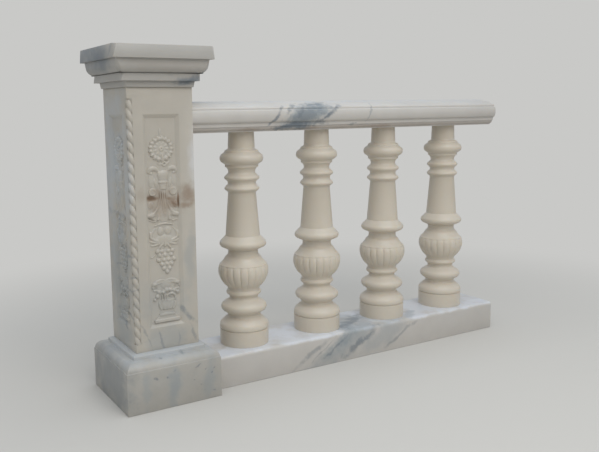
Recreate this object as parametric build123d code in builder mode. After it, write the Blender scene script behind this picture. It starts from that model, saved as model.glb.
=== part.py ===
"""A run of turned marble balusters between a moulded rail and a carved pedestal post."""

import os
from math import pi, sqrt

from build123d import *

os.makedirs("parts", exist_ok=True)

# Pedestal post, on the origin, with half widths measured from its centre line
PLINTH_HALF = 150
PLINTH_HEIGHT = 124
PLINTH_ROUND_IN = 119
PLINTH_ROUND_TOP = 150
PLINTH_FILLET_HALF = 114
PLINTH_FILLET_TOP = 160
SHAFT_HALF = 100
SHAFT_FOOT = 165
SHAFT_HEAD = 932
CAP_NECK_HALF = 107
CAP_NECK_TOP = 949
CAP_FILLET_HALF = 121
CAP_FILLET_TOP = 969
CAP_ROUND_HALF = 140
CAP_ROUND_TOP = 991
CAP_SLAB_HALF = 151
CAP_SLAB_FOOT = 1009
POST_HEIGHT = 1046
CAP_CORNER = 10

# Sunk panels on the front, the outer side and the back of the shaft
PANEL_HALF = 52
PANEL_FOOT = 232
PANEL_HEAD = 856
PANEL_DEPTH = 9
PANEL_SPLAY = 50
PANEL_TURNS = (0, -90, 180)

# Rope moulding let into the outer front corner of the shaft
ROPE_RADIUS = 12.5
ROPE_REBATE = 20.5
ROPE_FOOT = 188
ROPE_HEAD = 900
ROPE_PITCH = 30
ROPE_LEAD = 60
ROPE_GROOVE_DEPTH = 2.5
ROPE_GROOVE_SPREAD = 25
ROPE_CUTTER_REACH = 12
ROPE_CUTTER_HEIGHT = 6
ROPE_CUTTER_HALF_WIDTH = 7

# Rails
BASE_RAIL_HALF = 105
BASE_RAIL_HEIGHT = 103
BASE_RAIL_ROUND = 12
RAIL_END = 1369
RAIL_FOOT = 797
RAIL_HEAD = 891.5

# Balusters
BALUSTER_COUNT = 4
FIRST_BALUSTER = 314.8
BALUSTER_SPACING = 292.5

# Gadroons round the bulb, with the line that the bottom of each groove follows
GADROON_COUNT = 20
GROOVE_FOOT_RADIUS = 61
GROOVE_FOOT = 294
GROOVE_HEAD_RADIUS = 84
GROOVE_HEAD = 360
GROOVE_CUTTER_HEIGHT = 13
GROOVE_CUTTER_HALF_WIDTH = 16


def plinth_outline():
    """Half outline of the post's foot: block, quarter round, fillet and weathered ledge."""
    block = Polyline(
        (0, 0),
        (PLINTH_HALF, 0),
        (PLINTH_HALF, PLINTH_HEIGHT),
        (PLINTH_HALF - 2, PLINTH_HEIGHT),
    )
    quarter_round = ThreePointArc(
        block @ 1,
        (PLINTH_HALF - 10, PLINTH_HEIGHT + 18),
        (PLINTH_ROUND_IN, PLINTH_ROUND_TOP),
    )
    Polyline(
        quarter_round @ 1,
        (PLINTH_FILLET_HALF, PLINTH_ROUND_TOP),
        (PLINTH_FILLET_HALF, PLINTH_FILLET_TOP),
        (SHAFT_HALF + 2, SHAFT_FOOT),
        (0, SHAFT_FOOT),
    )


def cap_outline(stretch=1.0, setback=0.0):
    """Half outline of the cap: neck, fillet, quarter round and slab.

    A stretch of root two and a setback give the outline across the corners.
    """

    def reach(half):
        return half * stretch - setback

    neck = Polyline(
        (0, SHAFT_HEAD),
        (reach(CAP_NECK_HALF), SHAFT_HEAD),
        (reach(CAP_NECK_HALF), CAP_NECK_TOP),
        (reach(CAP_FILLET_HALF), CAP_NECK_TOP),
        (reach(CAP_FILLET_HALF), CAP_FILLET_TOP),
    )
    quarter_round = ThreePointArc(
        neck @ 1,
        (reach(CAP_ROUND_HALF - 4), CAP_FILLET_TOP + 8),
        (reach(CAP_ROUND_HALF), CAP_ROUND_TOP),
    )
    Polyline(
        quarter_round @ 1,
        (reach(CAP_ROUND_HALF), CAP_SLAB_FOOT),
        (reach(CAP_SLAB_HALF), CAP_SLAB_FOOT),
        (reach(CAP_SLAB_HALF), POST_HEIGHT),
        (0, POST_HEIGHT),
    )


# Foot of the post, the same outline seen from the front and from the side
with BuildPart() as post_base:
    for plane, mode in ((Plane.XZ, Mode.ADD), (Plane.YZ, Mode.INTERSECT)):
        with BuildSketch(plane):
            with BuildLine():
                plinth_outline()
                mirror(about=Plane.YZ)
            make_face()
        extrude(amount=PLINTH_HALF, both=True, mode=mode)
post_base.part.label = "post_base"
export_step(post_base.part, "parts/post_base.step")


# V groove between two strands of the rope, cut across the front of a bead on the origin
rope_slope = ROPE_LEAD / (2 * pi * ROPE_RADIUS)
strand_start = (
    -ROPE_CUTTER_REACH,
    ROPE_GROOVE_DEPTH - ROPE_RADIUS,
    ROPE_CUTTER_REACH * rope_slope,
)
with BuildPart() as strand_groove:
    with BuildSketch(Plane(strand_start, x_dir=(0, 1, 0), z_dir=(1, 0, -rope_slope))):
        with BuildLine():
            Polyline(
                (0, 0),
                (-ROPE_CUTTER_HEIGHT, ROPE_CUTTER_HALF_WIDTH),
                (-ROPE_CUTTER_HEIGHT, -ROPE_CUTTER_HALF_WIDTH),
                close=True,
            )
        make_face()
    extrude(amount=2 * ROPE_CUTTER_REACH * sqrt(1 + rope_slope**2))

rope_centre = SHAFT_HALF - ROPE_RADIUS
strand_places = []
for strand in range(1, round((ROPE_HEAD - ROPE_FOOT) / ROPE_PITCH)):
    for spread in (-ROPE_GROOVE_SPREAD, ROPE_GROOVE_SPREAD):
        height = ROPE_FOOT + strand * ROPE_PITCH + ROPE_LEAD * spread / 360
        strand_places.append(Location((-rope_centre, -rope_centre, height), (0, 0, -45 - spread)))


# Shaft of the post, with splayed panels and a rope moulding on the outer front corner
with BuildPart() as post_shaft:
    with BuildSketch(Plane.XY.offset(SHAFT_FOOT)):
        Rectangle(2 * SHAFT_HALF, 2 * SHAFT_HALF)
    extrude(amount=SHAFT_HEAD - SHAFT_FOOT)
    for turn in PANEL_TURNS:
        with BuildSketch(Plane.XZ.rotated((0, 0, turn)).offset(SHAFT_HALF)):
            with Locations((0, (PANEL_HEAD + PANEL_FOOT) / 2)):
                Rectangle(2 * PANEL_HALF, PANEL_HEAD - PANEL_FOOT)
        extrude(amount=-PANEL_DEPTH, taper=PANEL_SPLAY, mode=Mode.SUBTRACT)
    with BuildSketch(Plane.XY.offset(ROPE_FOOT)):
        with Locations((-SHAFT_HALF, -SHAFT_HALF)):
            Rectangle(2 * ROPE_REBATE, 2 * ROPE_REBATE)
    extrude(amount=ROPE_HEAD - ROPE_FOOT, mode=Mode.SUBTRACT)
    with BuildSketch(Plane.XY.offset(ROPE_FOOT)):
        with Locations((-rope_centre, -rope_centre)):
            Circle(ROPE_RADIUS)
    extrude(amount=ROPE_HEAD - ROPE_FOOT)
    with Locations(*strand_places):
        add(strand_groove.part, mode=Mode.SUBTRACT)
post_shaft.part.label = "post_shaft"
export_step(post_shaft.part, "parts/post_shaft.step")


# Cap of the post, with its corners taken off at 45 degrees
with BuildPart() as post_cap:
    for plane, mode in ((Plane.XZ, Mode.ADD), (Plane.YZ, Mode.INTERSECT)):
        with BuildSketch(plane):
            with BuildLine():
                cap_outline()
                mirror(about=Plane.YZ)
            make_face()
        extrude(amount=CAP_SLAB_HALF, both=True, mode=mode)
    for turn in (45, -45):
        with BuildSketch(Plane.XZ.rotated((0, 0, turn))):
            with BuildLine():
                cap_outline(sqrt(2), CAP_CORNER / sqrt(2))
                mirror(about=Plane.YZ)
            make_face()
        extrude(amount=2 * CAP_SLAB_HALF, both=True, mode=Mode.INTERSECT)
post_cap.part.label = "post_cap"
export_step(post_cap.part, "parts/post_cap.step")


# Rail under the balusters, butted against the foot of the post
with BuildPart() as base_rail:
    with BuildSketch(Plane.YZ.offset(PLINTH_HALF)):
        with Locations((0, BASE_RAIL_HEIGHT / 2)):
            Rectangle(2 * BASE_RAIL_HALF, BASE_RAIL_HEIGHT)
    extrude(amount=RAIL_END - PLINTH_HALF)
    top_edges = base_rail.edges().filter_by(Axis.X).group_by(Axis.Z)[-1]
    fillet(top_edges, BASE_RAIL_ROUND)
base_rail.part.label = "base_rail"
export_step(base_rail.part, "parts/base_rail.step")


# Handrail: low crest, shoulder, swelling side, fillet, cove and bottom fillet
with BuildPart() as handrail:
    with BuildSketch(Plane.YZ.offset(SHAFT_HALF)):
        with BuildLine():
            crest = ThreePointArc((0, RAIL_HEAD), (47, RAIL_HEAD - 6), (84, RAIL_HEAD - 18))
            shoulder = Polyline(crest @ 1, (88, RAIL_HEAD - 26), (93.5, RAIL_HEAD - 29.5))
            side = ThreePointArc(shoulder @ 1, (96, RAIL_FOOT + 54), (92.5, RAIL_FOOT + 32))
            step = Polyline(side @ 1, (90, RAIL_FOOT + 29), (84.5, RAIL_FOOT + 26.5))
            narrow_fillet = Polyline(step @ 1, (83.5, RAIL_FOOT + 16), (79.5, RAIL_FOOT + 15))
            cove = ThreePointArc(narrow_fillet @ 1, (78, RAIL_FOOT + 9), (71, RAIL_FOOT + 4.5))
            Polyline(cove @ 1, (69, RAIL_FOOT + 4), (68, RAIL_FOOT), (0, RAIL_FOOT))
            mirror(about=Plane.YZ)
        make_face()
    extrude(amount=RAIL_END - SHAFT_HALF)
handrail.part.label = "handrail"
export_step(handrail.part, "parts/handrail.step")


def baluster_outline():
    """Half outline of one baluster, from its foot on the base rail to the handrail."""
    drum = Polyline((0, BASE_RAIL_HEIGHT), (80, BASE_RAIL_HEIGHT), (80, 164), (73, 180), (54, 198))
    big_ring = Polyline(drum @ 1, (75, 219), (75, 231), (47, 252), (47, 263))
    small_ring = Polyline(big_ring @ 1, (57, 271), (57, 277), (51, 285))
    cup = Polyline(small_ring @ 1, (63, 301), (76, 320), (82, 341), (80, 362))
    upper_neck = Polyline(cup @ 1, (66, 380), (49, 402), (49, 416))
    disc = Polyline(upper_neck @ 1, (76, 431), (76, 439), (57, 461))
    lower_bead = Polyline(disc @ 1, (45, 601), (56.5, 611), (56.5, 618), (45.5, 630))
    upper_bead = Polyline(lower_bead @ 1, (45.5, 637), (57, 647), (57, 654), (43.5, 666))
    collar_foot = Polyline(upper_bead @ 1, (43.5, 673), (54, 684), (54, 692))
    collar = Polyline(collar_foot @ 1, (69, 703), (70, 716), (54, 732), (54, 737))
    Polyline(collar @ 1, (42, 743), (42, RAIL_FOOT), (0, RAIL_FOOT), (0, BASE_RAIL_HEIGHT))


# V groove between two gadroons of a bulb, just inside the cup, fading out at both its ends
groove_start = (GROOVE_FOOT_RADIUS, 0, GROOVE_FOOT)
groove_run = Vector(GROOVE_HEAD_RADIUS - GROOVE_FOOT_RADIUS, 0, GROOVE_HEAD - GROOVE_FOOT)
with BuildPart() as gadroon_groove:
    with BuildSketch(Plane(groove_start, x_dir=(0, 1, 0), z_dir=groove_run)):
        with BuildLine():
            Polyline(
                (0, 0),
                (GROOVE_CUTTER_HALF_WIDTH, -GROOVE_CUTTER_HEIGHT),
                (-GROOVE_CUTTER_HALF_WIDTH, -GROOVE_CUTTER_HEIGHT),
                close=True,
            )
        make_face()
    extrude(amount=groove_run.length)


# One baluster turned from a block, with gadroons carved round its bulb
with BuildPart() as turned_baluster:
    with BuildSketch(Plane.XZ):
        with BuildLine():
            baluster_outline()
        make_face()
    revolve(axis=Axis.Z)
    with PolarLocations(0, GADROON_COUNT):
        add(gadroon_groove.part, mode=Mode.SUBTRACT)


# Row of balusters along the rails
for number in range(BALUSTER_COUNT):
    with BuildPart() as baluster:
        with Locations((FIRST_BALUSTER + number * BALUSTER_SPACING, 0, 0)):
            add(turned_baluster.part)
    baluster.part.label = f"baluster_{number + 1}"
    export_step(baluster.part, f"parts/baluster_{number + 1}.step")
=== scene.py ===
"""A marble balustrade: a carved post, four turned balusters, a ground rail and a handrail."""

from cmath import phase, rect
from math import atan2, cos, hypot, radians, sin, sqrt, tau

import bmesh
import bpy
from bpy.props import FloatProperty, IntProperty, PointerProperty, StringProperty
from mathutils import Matrix, Vector


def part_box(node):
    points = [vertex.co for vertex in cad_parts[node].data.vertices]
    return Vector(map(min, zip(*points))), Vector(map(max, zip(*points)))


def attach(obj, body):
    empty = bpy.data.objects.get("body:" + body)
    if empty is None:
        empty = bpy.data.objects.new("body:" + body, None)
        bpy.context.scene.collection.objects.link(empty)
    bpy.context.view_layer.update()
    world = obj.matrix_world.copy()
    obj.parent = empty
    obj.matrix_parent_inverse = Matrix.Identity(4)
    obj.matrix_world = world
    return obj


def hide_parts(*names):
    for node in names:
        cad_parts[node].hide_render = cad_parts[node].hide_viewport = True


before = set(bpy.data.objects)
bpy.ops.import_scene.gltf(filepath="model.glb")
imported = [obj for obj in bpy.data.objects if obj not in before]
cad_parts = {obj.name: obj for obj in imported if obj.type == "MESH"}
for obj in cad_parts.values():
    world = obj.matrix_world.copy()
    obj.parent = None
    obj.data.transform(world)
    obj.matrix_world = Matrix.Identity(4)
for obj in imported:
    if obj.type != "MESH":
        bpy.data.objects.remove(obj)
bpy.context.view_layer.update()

bl_info = {
    "name": "Marble balustrade",
    "version": (1, 0, 0),
    "blender": (4, 5, 0),
    "location": "View3D > Sidebar > Balustrade",
    "description": "Builds a carved marble balustrade round its packed solids",
    "category": "Object",
}

MM = 0.001
# Points closer together than this count as one.
TOUCHING = 1e-6

SHAFT_LOW, SHAFT_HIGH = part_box("post_shaft")
GROUND_RAIL_LOW, GROUND_RAIL_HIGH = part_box("base_rail")
HANDRAIL_LOW, HANDRAIL_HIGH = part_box("handrail")
BALUSTER_NODES = sorted(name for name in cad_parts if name.startswith("baluster_"))


# Outlines, in millimetres from the centre line and above the ground. A pair is a corner that a
# straight run leads to, and two pairs are an arc that goes through the first to the second.

FOOT_OUTLINE = (
    (0, 0),
    (150, 0),
    (150, 124),
    (148, 124.5),
    ((140, 142), (119, 150)),
    (114, 150.5),
    (114, 160),
    (102, 165),
    (0, 165),
)

CAP_OUTLINE = (
    (0, 932),
    (107, 932),
    (107, 949),
    (121, 949),
    (121, 969),
    ((134, 977), (140, 991)),
    (140, 1009),
    (151, 1009),
    (151, 1046),
    (0, 1046),
)

HANDRAIL_OUTLINE = (
    (0, 891.5),
    ((47, 885.5), (84, 873.5)),
    ((87.5, 870), (88, 865)),
    (93.5, 862),
    ((96, 851), (92.5, 829)),
    (90, 826),
    (84.5, 823.5),
    (83.5, 813),
    (79.5, 812),
    ((78, 806), (71, 801.5)),
    (69, 801),
    (68, 797),
    (0, 797),
)

BALUSTER_OUTLINE = (
    (0, 103),
    (80, 103),
    (80, 153),
    ((77, 154.9), (80.2, 157)),
    ((80.2, 167), (75.9, 176)),
    (58, 191.7),
    ((53.8, 199.5), (57, 205)),
    (70.5, 214.8),
    ((75.2, 226), (71, 236.4)),
    (52, 248.7),
    ((46.5, 256), (48.6, 263.4)),
    (53.2, 267.4),
    ((57.1, 274), (53.2, 280.6)),
    (51.6, 283.5),
    ((54.3, 291.5), (60.5, 298.3)),
    ((73, 314), (79.8, 330.5)),
    ((82.2, 347), (79.3, 363)),
    (77.6, 368),
    (72.8, 371.6),
    ((66.3, 378.8), (61, 387)),
    (56.8, 393.2),
    ((50.6, 399.4), (48.9, 405)),
    (49, 415.4),
    (67.5, 424.3),
    ((76.4, 435.5), (72.4, 445)),
    (57.6, 460.4),
    (56.1, 462),
    (55.7, 467),
    (45.1, 601.5),
    (46.8, 604.4),
    (53.4, 609.9),
    ((56.5, 615.5), (53.4, 621)),
    (46.8, 627.6),
    (45.6, 629.6),
    (45.8, 635),
    (47.6, 639.2),
    (53.6, 644),
    ((56.9, 650), (53.4, 655.8)),
    (45, 663.4),
    ((43.4, 667), (44, 672)),
    ((47.5, 680), (53.6, 684.6)),
    (53.8, 692),
    (66, 700.4),
    ((70.2, 712), (66.2, 723.4)),
    (55, 731.4),
    (54, 736.6),
    (47.8, 739.8),
    ((43.8, 743), (43, 749)),
    (41.2, 797),
    (0, 797),
)


class PostSettings(bpy.types.PropertyGroup):
    """Sizes of the post"""

    shaft_half: FloatProperty(
        name="Shaft half width",
        description="From the post's centre line to each face of the shaft",
        default=SHAFT_HIGH.x,
        unit="LENGTH",
    )
    arris: FloatProperty(
        name="Arris",
        description="How far the sharp edges are eased",
        default=1.0 * MM,
        unit="LENGTH",
    )
    corner_cut: FloatProperty(
        name="Cap corner cut",
        description="How far each corner of the cap is cut back",
        default=10 * MM,
        unit="LENGTH",
    )
    panel_half: FloatProperty(
        name="Panel half width",
        description="Half the width of the sunk panel's opening",
        default=56 * MM,
        unit="LENGTH",
    )
    panel_foot: FloatProperty(
        name="Panel foot",
        description="Height of the bottom of the sunk panel's opening",
        default=232 * MM,
        unit="LENGTH",
    )
    panel_head: FloatProperty(
        name="Panel head",
        description="Height of the top of the sunk panel's opening",
        default=856 * MM,
        unit="LENGTH",
    )
    panel_depth: FloatProperty(
        name="Panel depth",
        description="How deep the ground of the panel lies under the face",
        default=9 * MM,
        unit="LENGTH",
    )
    panel_splay: FloatProperty(
        name="Panel splay",
        description="Width of the sloping border between the face and the ground of the panel",
        default=10.5 * MM,
        unit="LENGTH",
    )
    rope_radius: FloatProperty(
        name="Rope radius",
        description="Radius of the rope moulding over its strands",
        default=12.5 * MM,
        unit="LENGTH",
    )
    rope_lead: FloatProperty(
        name="Rope lead",
        description="Height in which one strand goes once round the rope",
        default=60 * MM,
        unit="LENGTH",
    )
    strands: IntProperty(
        name="Rope strands", description="Number of strands in the rope", default=2, min=2
    )
    strand_depth: FloatProperty(
        name="Strand depth",
        description="How deep the grooves between the strands are",
        default=4.0 * MM,
        unit="LENGTH",
    )
    rope_foot: FloatProperty(
        name="Rope foot",
        description="Height at which the rope moulding starts",
        default=188 * MM,
        unit="LENGTH",
    )
    rope_head: FloatProperty(
        name="Rope head",
        description="Height at which the rope moulding ends",
        default=900 * MM,
        unit="LENGTH",
    )
    quirk: FloatProperty(
        name="Quirk",
        description="How far the edges of the rope's rebate are rounded",
        default=1.6 * MM,
        unit="LENGTH",
    )
    rope_rebate: FloatProperty(
        name="Rope rebate",
        description="Width of the square rebate that the rope lies in",
        default=14.6 * MM,
        unit="LENGTH",
    )


class CarvingSettings(bpy.types.PropertyGroup):
    """Sizes of the relief in the panels"""

    grain: FloatProperty(
        name="Chisel grain",
        description="Smallest detail that the relief keeps",
        default=1.1 * MM,
        unit="LENGTH",
    )
    relief: FloatProperty(
        name="Relief",
        description="Greatest height of the carving over the ground of the panel",
        default=6.6 * MM,
        unit="LENGTH",
    )
    sunk: FloatProperty(
        name="Sunk",
        description="How deep the middles of the forms lie in the ground, which slopes their sides",
        default=2.4 * MM,
        unit="LENGTH",
    )


class RailSettings(bpy.types.PropertyGroup):
    """Sizes of the two rails"""

    edge_round: FloatProperty(
        name="Ground rail rounding",
        description="Radius of the ground rail's two long upper edges",
        default=12 * MM,
        unit="LENGTH",
    )
    arris: FloatProperty(
        name="Arris",
        description="How far the cut ends are eased",
        default=1.2 * MM,
        unit="LENGTH",
    )


class BalusterSettings(bpy.types.PropertyGroup):
    """Sizes of the balusters"""

    gadroons: IntProperty(
        name="Gadroons",
        description="Number of rounded lobes round the bulb",
        default=20,
        min=6,
    )
    steps: IntProperty(
        name="Steps to a gadroon",
        description="Faces across each lobe",
        default=9,
        min=5,
    )
    groove: FloatProperty(
        name="Groove depth",
        description="How deep the grooves between the lobes are cut at the bulb's widest place",
        default=3.3 * MM,
        unit="LENGTH",
    )
    gadroon_foot: FloatProperty(
        name="Gadroon foot",
        description="Height at which the lobes start",
        default=286 * MM,
        unit="LENGTH",
    )
    gadroon_head: FloatProperty(
        name="Gadroon head",
        description="Height of the rounded tops of the lobes",
        default=368 * MM,
        unit="LENGTH",
    )


class StoneSettings(bpy.types.PropertyGroup):
    """Colours of the marble and of the light and shade painted on it, as sRGB hex values"""

    shaft_ground: StringProperty(
        name="Shaft", description="Warm white of the shaft", default="#B8B2A7"
    )
    foot_ground: StringProperty(
        name="Foot", description="Greyer white of the foot block", default="#AAA7A0"
    )
    cap_ground: StringProperty(name="Cap", description="White of the cap", default="#ACA9A3")
    rail_ground: StringProperty(name="Rails", description="White of the rails", default="#C2BEB8")
    cream: StringProperty(
        name="Balusters", description="Cream of the balusters", default="#CDC4B5"
    )
    # Blue grey of the veins, which also paints shade over the outer sides of the foot and the cap and
    # in the outer rosette's dish
    vein: StringProperty(name="Vein", description="Blue grey of the veins", default="#6B747C")
    # Cool grey of the clouds, which also paints shade over the lower half of the shaft's outer side
    cloud: StringProperty(name="Cloud", description="Cool grey of the clouds", default="#8F979B")
    # Painted bluish sheen of the sky, on the foot's mouldings, the handrail's top and the upper half
    # of the shaft's outer side
    sheen: StringProperty(
        name="Sheen", description="Bluish white of the mouldings", default="#B9C1C8"
    )
    # Painted light: bluish sky light on the ground rail's top and a pool of light on the shaft's
    # upper right border
    pale: StringProperty(
        name="Pale", description="Bluish white of the palest places", default="#D3D5D9"
    )
    # Brown of the iron stains, which also paints warm shade along the handrail's underside and the
    # cap's ovolo
    rust: StringProperty(name="Rust", description="Brown of the iron stains", default="#7C6047")
    # Dark brown of the dirt in the carving, which also paints shade in its hollows, shadows under its
    # curls and a shadow line under the urn's block
    grime: StringProperty(
        name="Grime", description="Dark brown of the dirt in the carving", default="#4E3D2D"
    )


class StageSettings(bpy.types.PropertyGroup):
    """The floor, the lamps and the camera"""

    backdrop: StringProperty(
        name="Backdrop", description="Pale grey far away, as an sRGB hex value", default="#C9C9C7"
    )
    floor: StringProperty(
        name="Floor",
        description="Warmer grey that evens out the cool light on the floor, as an sRGB hex value",
        default="#CCC9C3",
    )
    sky: FloatProperty(
        name="Sky", description="Strength of the even light from all round", default=0.56, min=0
    )
    key: FloatProperty(
        name="Key light",
        description="Power of the large lamp in front",
        default=56,
        unit="POWER",
    )
    top: FloatProperty(
        name="Top light",
        description="Power of the large lamp overhead",
        default=38,
        unit="POWER",
    )
    side: FloatProperty(
        name="Side light",
        description="Power of the cool lamp at the left",
        default=7,
        unit="POWER",
    )


class BalustradeSettings(bpy.types.PropertyGroup):
    """All settings of the balustrade"""

    post: PointerProperty(type=PostSettings, name="Post", description="Sizes of the post")
    carving: PointerProperty(type=CarvingSettings, name="Carving", description="Sizes of the relief")
    rails: PointerProperty(type=RailSettings, name="Rails", description="Sizes of the rails")
    balusters: PointerProperty(
        type=BalusterSettings, name="Balusters", description="Sizes of the balusters"
    )
    stone: PointerProperty(type=StoneSettings, name="Stone", description="Colours of the marble")
    stage: PointerProperty(type=StageSettings, name="Stage", description="Floor, lamps and camera")


def linear(hex_colour):
    """The linear colour of an sRGB hex value such as #A0B1C2, with an alpha of 1."""
    channels = [int(hex_colour[i : i + 2], 16) / 255 for i in (1, 3, 5)]
    return [c / 12.92 if c <= 0.04045 else ((c + 0.055) / 1.055) ** 2.4 for c in channels] + [1]


def arc(start, middle, end, steps):
    """Points on the arc from start to end through middle, start left out, as complex numbers."""
    start, middle, end = (complex(*point) for point in (start, middle, end))
    ratio = (end - start) / (middle - start)
    centre = start + (middle - start) * (ratio - abs(ratio) ** 2) / (2j * ratio.imag)
    turns = [(phase(point - centre) - phase(start - centre)) % tau for point in (middle, end)]
    sweep = turns[1] if turns[0] < turns[1] else turns[1] - tau
    return [centre + (start - centre) * rect(1, sweep * i / steps) for i in range(1, steps + 1)]


def trace(outline, arc_steps=10):
    """The outline's points in metres, its arcs divided into steps."""
    points = [outline[0]]
    for part in outline[1:]:
        if isinstance(part[0], tuple):
            points += [(p.real, p.imag) for p in arc(points[-1], part[0], part[1], arc_steps)]
        else:
            points.append(part)
    return [(across * MM, up * MM) for across, up in points]


def wire(bm, points):
    """A chain of edges through the points."""
    verts = [bm.verts.new(point) for point in points]
    edges = [bm.edges.new(pair) for pair in zip(verts, verts[1:])]
    return verts + edges


def close(bm):
    """Merges doubles, then turns all faces outwards."""
    bmesh.ops.remove_doubles(bm, verts=bm.verts, dist=TOUCHING)
    bmesh.ops.recalc_face_normals(bm, faces=bm.faces)


def ease(bm, offset, segments=2, angle=30, edges=None, offset_type="OFFSET"):
    """Bevels the edges, or where none are given, those sharper than the angle in degrees."""
    if edges is None:
        inner = [e for e in bm.edges if len(e.link_faces) == 2]
        edges = [e for e in inner if e.calc_face_angle() > radians(angle)]
    bmesh.ops.bevel(
        bm,
        geom=edges,
        offset=offset,
        offset_type=offset_type,
        segments=segments,
        profile=0.5,
        affect="EDGES",
        material=-1,
        clamp_overlap=False,
    )


def block(low, high):
    """A block between two opposite corners."""
    bm = bmesh.new()
    bmesh.ops.create_cube(bm, size=1)
    bmesh.ops.scale(bm, vec=high - low, verts=bm.verts)
    bmesh.ops.translate(bm, vec=(high + low) / 2, verts=bm.verts)
    return bm


def turn_once(bm, geom, steps):
    """Spins an outline once round the upright axis."""
    bmesh.ops.spin(
        bm, geom=geom, cent=(0, 0, 0), axis=(0, 0, 1), angle=tau, steps=steps, use_merge=True
    )


def fill_holes(bm):
    """Closes every open end with one face."""
    bmesh.ops.holes_fill(bm, edges=[e for e in bm.edges if e.is_boundary], sides=0)


def off_crown(vert, lobes):
    """Where a point lies across its lobe: 0 on the crown and 1 or -1 in the groove at its side."""
    lobe = tau / lobes
    return (atan2(vert.co.y, vert.co.x) % lobe) / lobe * 2 - 1


def square_turned(outline):
    """A square moulding: the outline stands on a diagonal and goes round in four steps."""
    bm = bmesh.new()
    turn_once(bm, wire(bm, [(half, half, up) for half, up in trace(outline)]), 4)
    close(bm)
    on_axis = [v for v in bm.verts if v.co.xy.length < TOUCHING]
    bmesh.ops.dissolve_verts(bm, verts=on_axis)
    return bm


def finished(name, bm, stone, nodes=(), smooth=32):
    """Makes the object, which stands at the origin and rides on the balustrade's one body.

    Edges sharper than the smooth angle, in degrees, stay sharp to the eye.
    """
    mesh = bpy.data.meshes.new(name)
    bm.to_mesh(mesh)
    bm.free()
    mesh.polygons.foreach_set("use_smooth", [True] * len(mesh.polygons))
    mesh.set_sharp_from_angle(angle=radians(smooth))
    mesh.materials.append(stones(bpy.context.scene.balustrade.stone)[stone])
    piece = bpy.data.objects.new(name, mesh)
    bpy.context.scene.collection.objects.link(piece)
    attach(piece, "root")
    if nodes:
        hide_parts(*nodes)


# Stone: sizes of its patterns in millimetres

VEIN_WANDER_GRAIN = 80
VEIN_WANDER_REACH = 40
TOOTH_GRAIN = 6
TOOTH_HEIGHT = 0.4
LIGHT_REACH = 9
# Light comes back redder from deep in the stone: how far each colour goes, as a share of the reach.
LIGHT_SPREAD = (1.0, 0.72, 0.45)
# How much more polished or more matt than its mean the stone is in places.
GLOSSIER = 0.06
MORE_MATT = 0.08
# Share of a patch's half size in which it is at full strength.
PATCH_CORE = 0.2


def add(tree, kind, inputs=None, **settings):
    """Adds a node, gives it its settings, and sets or links its inputs."""
    made = tree.nodes.new(kind)
    for key, value in settings.items():
        setattr(made, key, value)
    for key, value in (inputs or {}).items():
        if isinstance(value, bpy.types.NodeSocket):
            tree.links.new(value, made.inputs[key])
        else:
            made.inputs[key].default_value = value
    return made


# Veins, clouds, stains, and painted light and shade, placed in millimetres and degrees on the
# standing
# balustrade: colour, strength, centre, turn, half size, raggedness of the edge and grain of the
# raggedness.

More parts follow.
